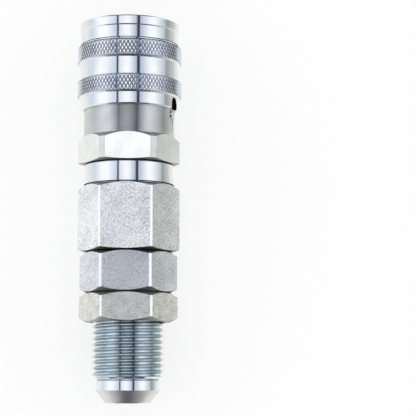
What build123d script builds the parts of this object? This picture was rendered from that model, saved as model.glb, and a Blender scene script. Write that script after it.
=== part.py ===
from build123d import *
import os
from math import hypot, radians, tan

# The sleeve half of a flat-face hydraulic coupler, in plated steel, lying on its side.
# Its axis runs along Y: the flared, threaded end points to -Y and the socket's mouth to +Y.
# Stations are distances in mm along that axis from the tip of the flared end.
# Radii are measured from the axis. Azimuths turn from straight up towards +X.

# Clearances
RUNNING_GAP = 0.05      # radial, between pieces that slide on each other
SCREWED_GAP = 0.03      # radial, between screwed pieces, drawn at the thread's major diameter
SEAT_GAP = 0.02         # between a piece and the groove, pocket or shoulder that holds it
LOOSE_GAP = 0.3         # between curved pieces that only pass each other
JOINT_LINE = 0.3        # along the axis, between two bodies that are tightened together

# Bulkhead stud: flared nose, thread, hexagon and the threaded end inside the port
FLARE_TIP_R = 7.0
FLARE_ANGLE = 37.0      # between the cone and the axis
NOSE_R = 9.95
NOSE_LAND_LENGTH = 3.1
STUD_THREAD_R = 11.1125
STUD_THREAD_LENGTH = 27.0
STUD_BORE_R = 6.15
STUD_BORE_CHAMFER = 0.4
STUD_HEX_FLATS = 27.0
STUD_HEX_CORNER_R = 15.25
STUD_HEX_LENGTH = 12.5
PORT_THREAD_LENGTH = 12.0
RELIEF_DEPTH = 1.5      # of the neck beside the stud's hexagon, which the seal lies in
RELIEF_LENGTH = 2.6
PORT_RUNOUT = 1.0       # free space beyond the stud's inner end
THREAD_CHAMFER = 0.7

# Locknut
LOCKNUT_FLATS = 27.0
LOCKNUT_CORNER_R = 15.35
LOCKNUT_LENGTH = 8.9
LOCKNUT_BACKOFF = 0.2   # from the stud's shoulder

# Hexagon ends
HEX_FACE_INSET = 0.3    # from the flats in to the round face at each end
NUT_CHAMFER_ANGLE = 30.0
BODY_HEX_CHAMFER_ANGLE = 42.0
SMALL_CHAMFER_ANGLE = 14.0

# How far each hexagon stops from level when its thread comes tight, in degrees
STUD_HEX_TURN = -1.4
REAR_HEX_TURN = -1.6
BODY_HEX_TURN = 1.2
LOCKNUT_TURN = 0.0

# Rear body: long hexagon, collar and the screwed spigot
REAR_HEX_FLATS = 28.0
REAR_HEX_CORNER_R = 16.0
REAR_HEX_LENGTH = 20.6
COLLAR_RISE = 0.1       # of the collar over the flats of the long hexagon
COLLAR_LENGTH = 6.5
COLLAR_CHAMFER = 0.35
SPIGOT_R = 11.97
SPIGOT_LENGTH = 11.8
PASSAGE_R = 8.0
SPIGOT_GROOVE_WALL = 1.0  # between the groove and the spigot's end

# Socket body: hexagon, barrel and the front tube
BODY_HEX_FLATS = 28.5
BODY_CORNER_STEP = 0.125  # of its turned corners below those of the long hexagon
BODY_HEX_LENGTH = 8.8
CARRIER_R = 11.0
CARRIER_THICKNESS = 3.0
FLANGE_R = 10.4         # rear flange of the valve sleeve
PROBE_R = 9.85          # of the valve sleeve, and of the plug that pushes it in
TUBE_WALL = 2.6
SPRING_SPACE = 1.75     # radial, around the front tube
BARREL_REACH = 13.5     # from the body's hexagon to the shoulder that carries the sleeve's spring
GUIDE_STEP = 0.1        # the guide at the mouth is this much wider than the bore
GUIDE_LENGTH = 3.0
DIRT_GROOVE_LENGTH = 0.8  # of the groove behind the guide, which keeps grit off the valve
DIRT_GROOVE_DEPTH = 0.5
MOUTH_CHAMFER = 0.8
TUBE_SETBACK = 0.8      # of the tube's end behind the sleeve's front face

# Release sleeve
SLEEVE_OFFSET = 8.1     # bare barrel between the body's hexagon and the sleeve
SLEEVE_STROKE = 3.6     # how far the sleeve draws back
SKIRT_WALL = 1.1
SKIRT_LENGTH = 4.1
KNURL_HEIGHT = 0.92     # above the skirt
REAR_KNURL_LENGTH = 5.1
MID_BAND_STEP = 0.65    # below the knurls
MID_BAND_LENGTH = 5.85
FRONT_KNURL_LENGTH = 5.05
FRONT_BEVEL = 0.7
FRONT_BAND_LENGTH = 3.8
FRONT_BAND_STEP = 0.85  # below the knurls
FRONT_RING_LENGTH = 3.1
FRONT_RING_STEP = 0.55  # below the knurls
SLEEVE_EDGE = 0.35
KNURL_EDGE = 0.25
COUNTERBORE_DEPTH = 1.0  # beyond the tube, so that the balls can move out
RAMP_LENGTH = 1.3

# Slot in the skirt and the ball that the sleeve is turned past to lock it
SLOT_AZIMUTH = 70.0
SLOT_WIDTH = 4.3
SLOT_SPARE = 0.5        # between the slot's end and the ball once the sleeve is drawn back
SLOT_BEVEL = 0.4
LOCK_BALL_R = 1.25
LOCK_BALL_PROUD = 1.0
LOCK_BALL_SETBACK = 0.4

# Locking balls
LOCKING_BALL_R = 1.5875
LOCKING_BALL_COUNT = 8
BALL_SETBACK = 7.4      # of the ring of balls behind the sleeve's front face

# Valve sleeve and centre stem, whose faces are flush with each other
FACE_SETBACK = 4.8      # of the two flush faces behind the sleeve's front face
VALVE_LENGTH = 13.0
VALVE_FLANGE_LENGTH = 2.0
VALVE_BORE_R = 8.35
VALVE_LIP_LENGTH = 4.5
STEM_HEAD_R = 6.0
STEM_HEAD_LENGTH = 4.0
STEM_NECK_R = 2.8
STEM_THREAD_R = 2.3
STEM_FLARE_LENGTH = 2.2
STEM_END = 0.8          # of the stem's thread past its nut
CARRIER_HOLE_R = 1.6
CARRIER_HOLE_CIRCLE_R = 5.9
CARRIER_HOLE_COUNT = 6
STEM_NUT_FLATS = 7.0
STEM_NUT_LENGTH = 2.6

# Springs
SLEEVE_WIRE_R = 0.6
SLEEVE_SPRING_TURNS = 3.5
VALVE_WIRE_R = 0.6
VALVE_SPRING_TURNS = 6.5
WIRE_SIDES = 8          # the wire is drawn eight-sided

# Seals and the rings that back them
STUD_SEAL_R = 1.1
SEAL_R = 0.66
BACKUP_WIDTH = 0.9
BODY_SEAL_SETBACK = 14.4  # of the seal groove behind the sleeve's front face
STEM_SEAL_WIDTH = 1.6
STEM_SEAL_DEPTH = 1.1
STEM_SEAL_SETBACK = 1.0
RETAINING_WIRE_R = 0.6
RETAINING_SETBACK = 3.1   # behind the sleeve's front face

# Stations along the axis, from the flared tip to the socket's mouth
flare_end = (NOSE_R - FLARE_TIP_R) / tan(radians(FLARE_ANGLE))
thread_start = flare_end + NOSE_LAND_LENGTH
stud_shoulder = thread_start + STUD_THREAD_LENGTH
locknut_end = stud_shoulder - LOCKNUT_BACKOFF
stud_hex_end = stud_shoulder + STUD_HEX_LENGTH
rear_start = stud_hex_end + JOINT_LINE
stud_end = rear_start + PORT_THREAD_LENGTH
port_end = stud_end + PORT_RUNOUT
rear_hex_end = rear_start + REAR_HEX_LENGTH
collar_end = rear_hex_end + COLLAR_LENGTH
body_start = collar_end + JOINT_LINE
spigot_end = body_start + SPIGOT_LENGTH
carrier_end = spigot_end + CARRIER_THICKNESS
body_hex_end = body_start + BODY_HEX_LENGTH
spring_shoulder = body_hex_end + BARREL_REACH
sleeve_start = body_hex_end + SLEEVE_OFFSET
skirt_end = sleeve_start + SKIRT_LENGTH
rear_knurl_end = skirt_end + REAR_KNURL_LENGTH
mid_band_end = rear_knurl_end + MID_BAND_LENGTH
front_knurl_end = mid_band_end + FRONT_KNURL_LENGTH
front_band_start = front_knurl_end + FRONT_BEVEL
front_ring_start = front_band_start + FRONT_BAND_LENGTH
sleeve_end = front_ring_start + FRONT_RING_LENGTH
tube_end = sleeve_end - TUBE_SETBACK
face = sleeve_end - FACE_SETBACK
ball_station = sleeve_end - BALL_SETBACK
valve_start = face - VALVE_LENGTH
valve_stop = valve_start + VALVE_FLANGE_LENGTH + SEAT_GAP
lip_start = face - VALVE_LIP_LENGTH
seal_start = sleeve_end - BODY_SEAL_SETBACK
lock_ball_station = sleeve_start - LOCK_BALL_R - LOCK_BALL_SETBACK
slot_depth = SLEEVE_STROKE - LOCK_BALL_SETBACK + SLOT_SPARE
retaining_station = sleeve_end - RETAINING_SETBACK

# Radii that follow from the plug's size, from the bore out to the knurls
bore_r = PROBE_R + RUNNING_GAP
guide_r = bore_r + GUIDE_STEP
tube_r = bore_r + TUBE_WALL
barrel_r = tube_r + SPRING_SPACE
sleeve_bore_r = barrel_r + RUNNING_GAP
sleeve_land_r = tube_r + RUNNING_GAP
counterbore_r = tube_r + COUNTERBORE_DEPTH
skirt_r = sleeve_bore_r + SKIRT_WALL
knurl_r = skirt_r + KNURL_HEIGHT
mid_band_r = knurl_r - MID_BAND_STEP
front_band_r = knurl_r - FRONT_BAND_STEP
front_ring_r = knurl_r - FRONT_RING_STEP
chamber_r = FLANGE_R + RUNNING_GAP
ball_circle_r = PROBE_R + RUNNING_GAP + LOCKING_BALL_R
seal_depth = 2 * (SEAL_R + SEAT_GAP)
seal_length = 2 * (SEAL_R + SEAT_GAP) + BACKUP_WIDTH + SEAT_GAP
spigot_bore_r = SPIGOT_R + SCREWED_GAP
spigot_seal_start = spigot_end - SPIGOT_GROOVE_WALL - seal_length
relief_r = STUD_THREAD_R - RELIEF_DEPTH
lip_r = STEM_HEAD_R + RUNNING_GAP
body_hex_corner_r = REAR_HEX_CORNER_R - BODY_CORNER_STEP
collar_r = REAR_HEX_FLATS / 2 + COLLAR_RISE
overall_length = sleeve_end
axis_height = knurl_r


def along(station):
    """The Y of a station: the coupler's middle lies over the origin."""
    return station - overall_length / 2


def lying(shape):
    """Lifts what is modelled about the Y axis to the height of the coupler's axis."""
    return Pos(0, 0, axis_height) * shape


def turned(*corners):
    """A solid turned about the coupler's axis from its outline as (station, radius) corners."""
    outline = Polyline(*[(r, along(s)) for s, r in corners], close=True)
    return lying(revolve(make_face(outline), Axis.Y))


def ring(station, centre_r, section_r):
    """A round-section ring, such as an O-ring or a wire ring."""
    section = Pos(centre_r, along(station)) * Circle(section_r)
    return lying(revolve(section, Axis.Y))


def across(station):
    """A plane across the axis that faces +Y."""
    return Plane(origin=(0, along(station), axis_height), x_dir=(1, 0, 0), z_dir=(0, 1, 0))


def hexagon(flats, corner_r, start, end, start_angle, end_angle, turn):
    """A hexagon with its corners turned to corner_r and chamfered at both ends.

    Two flats face up and down, but for the turn, which goes towards +X.
    """
    section = Rot(0, 0, turn) * RegularPolygon(flats / 2, 6, major_radius=False)
    bar = extrude(across(start) * section, end - start)
    face_r = flats / 2 - HEX_FACE_INSET
    start_chamfer = (corner_r - face_r) * tan(radians(start_angle))
    end_chamfer = (corner_r - face_r) * tan(radians(end_angle))
    blank = turned(
        (start, 0), (start, face_r), (start + start_chamfer, corner_r),
        (end - end_chamfer, corner_r), (end, face_r), (end, 0),
    )
    return bar & blank


def radial(azimuth, station, shape):
    """Turns a shape that points up from the axis to its azimuth, at a station."""
    return Pos(0, along(station), axis_height) * Rot(0, azimuth, 0) * shape


def coil(mean_r, wire_r, start, end, turns):
    """A compression spring between two seats."""
    height = end - start - 2 * (wire_r + SEAT_GAP)
    path = Helix(height / turns, height, mean_r,
                 center=(0, along(start + wire_r + SEAT_GAP), axis_height), direction=(0, 1, 0))
    section = Plane(origin=path @ 0, z_dir=path % 0) * RegularPolygon(wire_r, WIRE_SIDES)
    return sweep(section, path=path, is_frenet=True)


def bulkhead_stud():
    """Stud with the 37-degree flared nose, the bulkhead thread, its hexagon and the port end."""
    shank = turned(
        (0, 0), (0, FLARE_TIP_R), (flare_end, NOSE_R), (thread_start, NOSE_R),
        (thread_start, STUD_THREAD_R - THREAD_CHAMFER),
        (thread_start + THREAD_CHAMFER, STUD_THREAD_R),
        (stud_hex_end, STUD_THREAD_R), (stud_hex_end, relief_r),
        (stud_hex_end + RELIEF_LENGTH, relief_r), (stud_hex_end + RELIEF_LENGTH, STUD_THREAD_R),
        (stud_end - THREAD_CHAMFER, STUD_THREAD_R), (stud_end, STUD_THREAD_R - THREAD_CHAMFER),
        (stud_end, 0),
    )
    grip = hexagon(STUD_HEX_FLATS, STUD_HEX_CORNER_R, stud_shoulder, stud_hex_end,
                   NUT_CHAMFER_ANGLE, NUT_CHAMFER_ANGLE, STUD_HEX_TURN)
    bore = turned(
        (0, 0), (0, STUD_BORE_R + STUD_BORE_CHAMFER), (STUD_BORE_CHAMFER, STUD_BORE_R),
        (stud_end, STUD_BORE_R), (stud_end, 0),
    )
    return shank + grip - bore


def locknut():
    """Hexagon nut that clamps a panel against the stud's hexagon."""
    start = locknut_end - LOCKNUT_LENGTH
    bore_radius = STUD_THREAD_R + SCREWED_GAP
    body = hexagon(LOCKNUT_FLATS, LOCKNUT_CORNER_R, start, locknut_end,
                   NUT_CHAMFER_ANGLE, NUT_CHAMFER_ANGLE, LOCKNUT_TURN)
    bore = turned(
        (start, 0), (start, bore_radius + THREAD_CHAMFER), (start + THREAD_CHAMFER, bore_radius),
        (locknut_end - THREAD_CHAMFER, bore_radius), (locknut_end, bore_radius + THREAD_CHAMFER),
        (locknut_end, 0),
    )
    return body - bore


def rear_body():
    """Long hexagon with the stud's port, the turned collar and the spigot in the socket body."""
    grip = hexagon(REAR_HEX_FLATS, REAR_HEX_CORNER_R, rear_start, rear_hex_end,
                   SMALL_CHAMFER_ANGLE, NUT_CHAMFER_ANGLE, REAR_HEX_TURN)
    neck = turned(
        (rear_hex_end, 0), (rear_hex_end, collar_r), (collar_end - COLLAR_CHAMFER, collar_r),
        (collar_end, collar_r - COLLAR_CHAMFER), (collar_end, SPIGOT_R),
        (spigot_seal_start, SPIGOT_R), (spigot_seal_start, SPIGOT_R - seal_depth),
        (spigot_seal_start + seal_length, SPIGOT_R - seal_depth),
        (spigot_seal_start + seal_length, SPIGOT_R), (spigot_end, SPIGOT_R), (spigot_end, 0),
    )
    seal_pocket_r = relief_r + 2 * (STUD_SEAL_R + SEAT_GAP)
    port_r = STUD_THREAD_R + SCREWED_GAP
    port = turned(
        (rear_start, 0), (rear_start, seal_pocket_r),
        (stud_hex_end + RELIEF_LENGTH, seal_pocket_r), (stud_hex_end + RELIEF_LENGTH, port_r),
        (port_end, port_r), (port_end + port_r - PASSAGE_R, PASSAGE_R),
        (spigot_end, PASSAGE_R), (spigot_end, 0),
    )
    return grip + neck - port


def socket_body():
    """Hexagon, barrel and the front tube with its ring of ball holes."""
    grip = hexagon(BODY_HEX_FLATS, body_hex_corner_r, body_start, body_hex_end,
                   SMALL_CHAMFER_ANGLE, BODY_HEX_CHAMFER_ANGLE, BODY_HEX_TURN)
    barrel = turned(
        (body_hex_end, 0), (body_hex_end, barrel_r), (spring_shoulder, barrel_r),
        (spring_shoulder, tube_r), (retaining_station - RETAINING_WIRE_R, tube_r),
        (retaining_station - RETAINING_WIRE_R, tube_r - RETAINING_WIRE_R),
        (retaining_station + RETAINING_WIRE_R, tube_r - RETAINING_WIRE_R),
        (retaining_station + RETAINING_WIRE_R, tube_r), (tube_end, tube_r), (tube_end, 0),
    )
    guide_start = tube_end - GUIDE_LENGTH - MOUTH_CHAMFER
    dirt_groove_start = guide_start - DIRT_GROOVE_LENGTH
    dirt_groove_r = guide_r + DIRT_GROOVE_DEPTH
    bore = turned(
        (body_start, 0), (body_start, spigot_bore_r), (spigot_end, spigot_bore_r),
        (spigot_end, CARRIER_R + SEAT_GAP), (carrier_end, CARRIER_R + SEAT_GAP),
        (carrier_end, chamber_r), (valve_stop, chamber_r), (valve_stop, bore_r),
        (seal_start, bore_r), (seal_start, bore_r + seal_depth),
        (seal_start + seal_length, bore_r + seal_depth), (seal_start + seal_length, bore_r),
        (dirt_groove_start, bore_r), (dirt_groove_start, dirt_groove_r),
        (guide_start, dirt_groove_r), (guide_start, guide_r), (tube_end - MOUTH_CHAMFER, guide_r),
        (tube_end, guide_r + MOUTH_CHAMFER), (tube_end, 0),
    )
    hole_r = LOCKING_BALL_R + RUNNING_GAP
    hole_length = tube_r + LOCKING_BALL_R
    hole = Pos(0, 0, hole_length / 2) * Cylinder(hole_r, hole_length)
    holes = [radial(step * 360 / LOCKING_BALL_COUNT, ball_station, hole)
             for step in range(LOCKING_BALL_COUNT)]
    pocket_depth = 2 * LOCK_BALL_R - LOCK_BALL_PROUD + SEAT_GAP
    pocket = Pos(0, 0, barrel_r) * Cylinder(LOCK_BALL_R + SEAT_GAP, 2 * pocket_depth)
    return grip + barrel - bore - holes - radial(SLOT_AZIMUTH, lock_ball_station, pocket)


def release_sleeve():
    """Sleeve with two knurled bands, drawn back against its spring to free the plug."""
    ramp_rise = counterbore_r - sleeve_land_r
    ramp_slant = hypot(ramp_rise, RAMP_LENGTH)
    above_ball = RAMP_LENGTH * (counterbore_r - ball_circle_r)
    ramp_end = ball_station + (above_ball - ramp_slant * (LOCKING_BALL_R + SEAT_GAP)) / ramp_rise
    blank = turned(
        (sleeve_start, sleeve_bore_r), (sleeve_start, skirt_r - SLEEVE_EDGE),
        (sleeve_start + SLEEVE_EDGE, skirt_r), (skirt_end, skirt_r),
        (skirt_end, knurl_r - KNURL_EDGE), (skirt_end + KNURL_EDGE, knurl_r),
        (rear_knurl_end - KNURL_EDGE, knurl_r), (rear_knurl_end, knurl_r - KNURL_EDGE),
        (rear_knurl_end, mid_band_r), (mid_band_end, mid_band_r),
        (mid_band_end, knurl_r - KNURL_EDGE), (mid_band_end + KNURL_EDGE, knurl_r),
        (front_knurl_end, knurl_r), (front_band_start, front_band_r),
        (front_ring_start, front_band_r), (front_ring_start, front_ring_r),
        (sleeve_end - SLEEVE_EDGE, front_ring_r), (sleeve_end, front_ring_r - SLEEVE_EDGE),
        (sleeve_end, counterbore_r), (ramp_end, counterbore_r),
        (ramp_end - RAMP_LENGTH, counterbore_r - ramp_rise),
        (mid_band_end, sleeve_land_r), (mid_band_end, sleeve_bore_r),
    )
    half_width = SLOT_WIDTH / 2
    length = slot_depth - half_width + SLEEVE_EDGE
    slot = Pos(0, -length / 2) * Rectangle(SLOT_WIDTH, length) + Circle(half_width)
    through = extrude(Pos(0, 0, sleeve_bore_r - SKIRT_WALL) * slot, 3 * SKIRT_WALL)
    bevel = extrude(Pos(0, 0, skirt_r - SLOT_BEVEL) * slot, SLOT_BEVEL + SEAT_GAP, taper=-45)
    cut = through + bevel
    return blank - radial(SLOT_AZIMUTH, sleeve_start + slot_depth - half_width, cut)


def sleeve_spring():
    """Spring that pushes the sleeve forward, round the front tube."""
    mean_r = (tube_r + barrel_r) / 2
    return coil(mean_r, SLEEVE_WIRE_R, spring_shoulder, mid_band_end, SLEEVE_SPRING_TURNS)


def sleeve_retaining_ring():
    """Wire ring in the front tube that keeps the sleeve on."""
    return ring(retaining_station, tube_r + SEAT_GAP, RETAINING_WIRE_R - SEAT_GAP)


def locking_balls():
    """Ring of balls that hold the plug, here pushed out by the valve sleeve."""
    ball = Pos(0, 0, ball_circle_r) * Sphere(LOCKING_BALL_R)
    return Compound(children=[radial(step * 360 / LOCKING_BALL_COUNT, ball_station, ball)
                              for step in range(LOCKING_BALL_COUNT)])


def lock_ball():
    """Ball set in the barrel, which passes into the skirt's slot."""
    centre_r = barrel_r + LOCK_BALL_PROUD - LOCK_BALL_R
    return radial(SLOT_AZIMUTH, lock_ball_station, Pos(0, 0, centre_r) * Sphere(LOCK_BALL_R))


def valve_sleeve():
    """Sliding sleeve of the valve, whose front face is flush with the stem's."""
    return turned(
        (valve_start, VALVE_BORE_R), (valve_start, FLANGE_R),
        (valve_start + VALVE_FLANGE_LENGTH, FLANGE_R), (valve_start + VALVE_FLANGE_LENGTH, PROBE_R),
        (face, PROBE_R), (face, lip_r), (lip_start, lip_r), (lip_start, VALVE_BORE_R),
    )


def valve_spring():
    """Spring that pushes the valve sleeve against its stop."""
    mean_r = VALVE_BORE_R - LOOSE_GAP - VALVE_WIRE_R
    return coil(mean_r, VALVE_WIRE_R, carrier_end, lip_start, VALVE_SPRING_TURNS)


def centre_stem():
    """Fixed stem with the flat head that the valve sleeve closes on."""
    head_start = face - STEM_HEAD_LENGTH
    groove_end = face - STEM_SEAL_SETBACK
    groove_start = groove_end - STEM_SEAL_WIDTH
    groove_r = STEM_HEAD_R - STEM_SEAL_DEPTH
    stem_end = spigot_end - STEM_NUT_LENGTH - STEM_END
    return turned(
        (stem_end, 0), (stem_end, STEM_THREAD_R), (carrier_end, STEM_THREAD_R),
        (carrier_end, STEM_NECK_R), (head_start - STEM_FLARE_LENGTH, STEM_NECK_R),
        (head_start, STEM_HEAD_R), (groove_start, STEM_HEAD_R), (groove_start, groove_r),
        (groove_end, groove_r), (groove_end, STEM_HEAD_R), (face, STEM_HEAD_R), (face, 0),
    )


def stem_seal():
    """Seal in the head of the stem."""
    end = face - STEM_SEAL_SETBACK - SEAT_GAP
    start = end - STEM_SEAL_WIDTH + 2 * SEAT_GAP
    inner_r = STEM_HEAD_R - STEM_SEAL_DEPTH + SEAT_GAP
    return turned((start, inner_r), (start, STEM_HEAD_R), (end, STEM_HEAD_R), (end, inner_r))


def stem_carrier():
    """Perforated disc that holds the stem and lets the oil through."""
    disc = turned(
        (spigot_end, STEM_THREAD_R + SEAT_GAP), (spigot_end, CARRIER_R),
        (carrier_end, CARRIER_R), (carrier_end, STEM_THREAD_R + SEAT_GAP),
    )
    hole = Pos(0, 0, CARRIER_HOLE_CIRCLE_R) * Rot(90, 0, 0) * Cylinder(
        CARRIER_HOLE_R, 3 * CARRIER_THICKNESS)
    middle = (spigot_end + carrier_end) / 2
    return disc - [radial(step * 360 / CARRIER_HOLE_COUNT, middle, hole)
                   for step in range(CARRIER_HOLE_COUNT)]


def stem_nut():
    """Nut on the rear end of the stem."""
    start = spigot_end - STEM_NUT_LENGTH
    prism = extrude(across(start) * RegularPolygon(STEM_NUT_FLATS / 2, 6, major_radius=False),
                    STEM_NUT_LENGTH)
    inner_r = STEM_THREAD_R + SCREWED_GAP
    return prism - turned((start, 0), (start, inner_r), (spigot_end, inner_r), (spigot_end, 0))


def seal_and_backup(start, inner_r):
    """A seal and its backup ring, side by side in a groove that starts at this station."""
    seal = ring(start + SEAT_GAP + SEAL_R, inner_r + SEAL_R, SEAL_R)
    backup_start = start + 2 * (SEAT_GAP + SEAL_R)
    backup_end = backup_start + BACKUP_WIDTH
    outer_r = inner_r + 2 * SEAL_R
    backup = turned((backup_start, inner_r), (backup_start, outer_r),
                    (backup_end, outer_r), (backup_end, inner_r))
    return seal, backup


def stud_seal():
    """Seal in the stud's neck, under its hexagon."""
    station = stud_hex_end + JOINT_LINE + STUD_SEAL_R
    return ring(station, relief_r + SEAT_GAP + STUD_SEAL_R, STUD_SEAL_R)


socket_seal, socket_backup_ring = seal_and_backup(seal_start, bore_r + SEAT_GAP)
spigot_seal, spigot_backup_ring = seal_and_backup(
    spigot_seal_start, SPIGOT_R - seal_depth + SEAT_GAP)

pieces = {
    "bulkhead_stud": bulkhead_stud(),
    "locknut": locknut(),
    "stud_seal": stud_seal(),
    "rear_body": rear_body(),
    "spigot_seal": spigot_seal,
    "spigot_backup_ring": spigot_backup_ring,
    "socket_body": socket_body(),
    "socket_seal": socket_seal,
    "socket_backup_ring": socket_backup_ring,
    "stem_carrier": stem_carrier(),
    "stem_nut": stem_nut(),
    "centre_stem": centre_stem(),
    "stem_seal": stem_seal(),
    "valve_sleeve": valve_sleeve(),
    "valve_spring": valve_spring(),
    "locking_balls": locking_balls(),
    "lock_ball": lock_ball(),
    "sleeve_retaining_ring": sleeve_retaining_ring(),
    "sleeve_spring": sleeve_spring(),
    "release_sleeve": release_sleeve(),
}

os.makedirs("parts", exist_ok=True)
for name, piece in pieces.items():
    export_step(piece, f"parts/{name}.step")
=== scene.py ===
from math import atan, cos, pi, radians, sin, tan

import bmesh
import bpy
from mathutils import Matrix, Vector


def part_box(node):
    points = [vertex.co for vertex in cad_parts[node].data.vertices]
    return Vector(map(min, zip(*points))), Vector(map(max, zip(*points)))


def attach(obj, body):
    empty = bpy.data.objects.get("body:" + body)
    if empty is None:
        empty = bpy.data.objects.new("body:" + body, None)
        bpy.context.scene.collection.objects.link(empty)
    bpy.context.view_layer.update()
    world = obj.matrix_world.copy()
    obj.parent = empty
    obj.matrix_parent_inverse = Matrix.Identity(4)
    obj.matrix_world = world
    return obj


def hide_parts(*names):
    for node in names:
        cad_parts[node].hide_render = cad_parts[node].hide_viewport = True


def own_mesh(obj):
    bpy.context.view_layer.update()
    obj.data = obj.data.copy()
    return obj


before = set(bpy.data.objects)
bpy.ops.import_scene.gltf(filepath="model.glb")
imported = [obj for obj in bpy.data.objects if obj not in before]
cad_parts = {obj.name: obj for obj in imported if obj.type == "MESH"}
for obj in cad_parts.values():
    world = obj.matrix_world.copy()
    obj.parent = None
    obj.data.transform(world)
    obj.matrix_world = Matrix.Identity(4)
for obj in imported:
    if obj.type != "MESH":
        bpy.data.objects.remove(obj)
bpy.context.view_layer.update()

# The camera of the photograph looks down on the lying coupler from half a metre, through a long lens.
# It stands over the flared end and to the coupler's right, so the sleeve's rear faces show a little.
image_width = 416
focal_length_in_pixels = 1514
sensor_width = 36.0
camera_right = 0.0248
camera_past_tip = 0.0045
camera_above_axis = 0.471
camera_pitch = radians(6.8)

flared_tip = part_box("bulkhead_stud")[0].y
sleeve_low, sleeve_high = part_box("release_sleeve")
axis_height = (sleeve_low.z + sleeve_high.z) / 2

camera_data = bpy.data.cameras.new("camera")
camera_data.sensor_width = sensor_width
camera_data.lens = focal_length_in_pixels / image_width * sensor_width
camera = bpy.data.objects.new("camera", camera_data)
camera.location = (camera_right, flared_tip + camera_past_tip, axis_height + camera_above_axis)
camera.rotation_euler = (camera_pitch, 0, 0)
bpy.context.collection.objects.link(camera)
bpy.context.scene.camera = camera


# Bulkhead stud: one piece turned from hexagon steel bar, with the 37-degree flared nose, a rolled 7/8-14
# thread and the hexagon that screws it into the body. It is zinc plated: the thread is bluish, the land
# beside it is as bright as a mirror, and the hexagon's flats keep the fine grain of the drawn bar.
weld = 2e-6
speck = 1e-8
small_edge = 0.0002
overshoot = 0.001


def placed(name, shape, materials):
    """Closes a shape that was made round the Y axis, and makes it an object on the coupler's own axis."""
    bmesh.ops.remove_doubles(shape, verts=shape.verts, dist=weld)
    bmesh.ops.dissolve_degenerate(shape, edges=shape.edges, dist=speck)
    bmesh.ops.recalc_face_normals(shape, faces=shape.faces)
    bmesh.ops.translate(shape, verts=shape.verts, vec=(0, 0, axis_height))
    mesh = bpy.data.meshes.new(name)
    shape.to_mesh(mesh)
    shape.free()
    for material in materials:
        mesh.materials.append(material)
    made = bpy.data.objects.new(name, mesh)
    bpy.context.collection.objects.link(made)
    return made


def turned(name, corners, materials, steps=240):
    """Turns an outline of (distance from the flared tip, radius) corners about the coupler's axis."""
    shape = bmesh.new()
    line = [shape.verts.new((radius, flared_tip + station, 0)) for station, radius in corners]
    closing = line[1:] if corners[0][1] == 0 else line[1:] + line[:1]
    edges = [shape.edges.new(pair) for pair in zip(line, closing)]
    bmesh.ops.spin(shape, geom=line + edges, cent=(0, 0, 0), axis=(0, 1, 0), dvec=(0, 0, 0),
                   angle=2 * pi, steps=steps, use_merge=True)
    return placed(name, shape, materials)


def painted(made, start, end, material_number):
    """Gives the faces of a turned piece between two stations another of its materials."""
    for face in made.data.polygons:
        if start <= face.center.y - flared_tip <= end:
            face.material_index = material_number


def hexagon(name, width, corner_radius, start, end, start_rise, end_rise, turn, materials,
            corners=0, chamfers=0, edges=0, edge_width=0.00013):
    """A hexagon bar of a given width across its flats, whose corners are turned round and chamfered.

    Its flats take the second material. Its turned corners, its chamfers and the eased edges of its flats
    take those of the given numbers.
    """
    chamfer_foot = 0.0003
    face_radius = width / 2 - chamfer_foot
    blank = turned(name, [
        (start, 0), (start, face_radius), (start + start_rise, corner_radius),
        (end - end_rise, corner_radius), (end, face_radius), (end, 0),
    ], materials)
    shape = bmesh.new()
    shape.from_mesh(blank.data)
    for face in shape.faces:
        face.material_index = corners if abs(face.normal.y) < 0.1 else chamfers
    flat_faces = []
    for side in range(6):
        angle = turn + side * pi / 3
        out = Vector((sin(angle), 0, cos(angle)))
        middle = Vector((0, 0, axis_height)) + out * width / 2
        cut = bmesh.ops.bisect_plane(shape, geom=shape.verts[:] + shape.edges[:] + shape.faces[:],
                                     dist=speck, plane_co=middle, plane_no=out, clear_outer=True)
        rim = [edge for edge in cut["geom_cut"] if isinstance(edge, bmesh.types.BMEdge)]
        flat_faces += bmesh.ops.contextual_create(shape, geom=rim)["faces"]
    for face in flat_faces:
        face.material_index = 1
    rims = list({edge for face in flat_faces for edge in face.edges})
    bmesh.ops.bevel(shape, geom=rims, offset=edge_width, offset_type="OFFSET", segments=3, profile=0.5,
                    affect="EDGES", clamp_overlap=True, material=edges)
    bmesh.ops.recalc_face_normals(shape, faces=shape.faces)
    shape.to_mesh(blank.data)
    shape.free()
    return blank


def combined(kept, other, operation):
    """Joins other to kept, or cuts it away, and leaves kept with one clean skin."""
    change = kept.modifiers.new("change", "BOOLEAN")
    change.object = other
    change.operation = operation
    change.solver = "EXACT"
    graph = bpy.context.evaluated_depsgraph_get()
    mesh = bpy.data.meshes.new_from_object(kept.evaluated_get(graph))
    kept.modifiers.clear()
    kept.data = mesh
    bpy.data.objects.remove(other)
    return kept


def finished(made, body, nodes, rolled=None, rolled_angle=20, facet_angle=4):
    """Shades the round faces smooth up to every real edge, and puts the piece in place of its CAD nodes.

    The cuts leave slivers, which are merged away. Faces of the rolled material are smooth over steeper
    edges too.
    """
    sliver = 1e-6
    short_edge = 1e-7
    shape = bmesh.new()
    shape.from_mesh(made.data)
    bmesh.ops.remove_doubles(shape, verts=shape.verts, dist=sliver)
    bmesh.ops.dissolve_degenerate(shape, edges=shape.edges, dist=short_edge)
    for face in shape.faces:
        face.smooth = True
    for edge in shape.edges:
        soft = rolled is not None and all(face.material_index == rolled for face in edge.link_faces)
        edge.smooth = edge.calc_face_angle(0) < radians(rolled_angle if soft else facet_angle)
    shape.to_mesh(made.data)
    shape.free()
    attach(made, body)
    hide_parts(*nodes)
    return made


def linear(colour):
    """The linear colour of an sRGB hex value."""
    parts = [int(colour[place:place + 2], 16) / 255 for place in (1, 3, 5)]
    return [part / 12.92 if part <= 0.04045 else ((part + 0.055) / 1.055) ** 2.4 for part in parts] + [1]


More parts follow.
